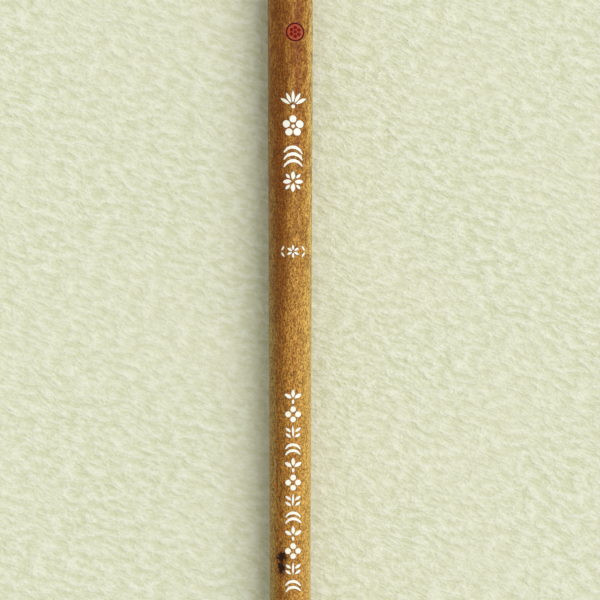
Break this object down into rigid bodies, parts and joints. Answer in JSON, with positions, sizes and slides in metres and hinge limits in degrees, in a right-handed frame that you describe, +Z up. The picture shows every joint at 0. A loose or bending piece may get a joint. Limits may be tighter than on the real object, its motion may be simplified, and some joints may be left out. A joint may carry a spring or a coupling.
{
  "type": "calligraphy brush",
  "caption": "Writing and painting brush with a tapered bamboo shaft, a horn ferrule and tail cap, bone collars and a pointed hair tuft that bends and springs back.",
  "frame": {"origin": "on the table, under the middle of the brush's length", "axes": "+Y along the brush from the hair tip to the tail, +Z up from the table, the cut ornament facing +Z"},
  "size_m": [0.0114, 0.264, 0.0114],
  "materials": {
    "bamboo": "satin speckled brown bamboo with lengthwise streaks",
    "hardwood": "plain sanded hardwood",
    "horn": "polished black horn",
    "bone": "satin cream bone",
    "resin": "amber resin",
    "thread": "waxed thread",
    "core_hair": "dark stiff hair",
    "belly_hair": "tan hair",
    "cloak_hair": "fine golden brown hair",
    "red_paint": "matt red paint",
    "cream_paint": "matt cream paint"
  },
  "bodies": {
    "handle": {"shaft": "bamboo", "front_plug": "hardwood", "front_collar": "bone", "ferrule": "horn", "root_resin": "resin", "core_binding": "thread", "tuft_binding": "thread", "tail_collar": "bone", "tail_cap": "horn", "seal_fill": "red_paint", "upper_mark_fill": "cream_paint", "lower_mark_fill": "cream_paint"},
    "tuft": {"core_hair": "core_hair", "belly_hair": "belly_hair", "cloak_hair": "cloak_hair"}
  },
  "joints": [
    {"name": "tuft_bend", "type": "hinge", "parent": "handle", "child": "tuft", "pos_m": [0, -0.086, 0.0057], "axis": [0, 0, 1], "range_deg": [-35, 35], "stiffness_Nm_per_rad": 0.012, "deforming": ["core_hair", "belly_hair", "cloak_hair"]}
  ]
}
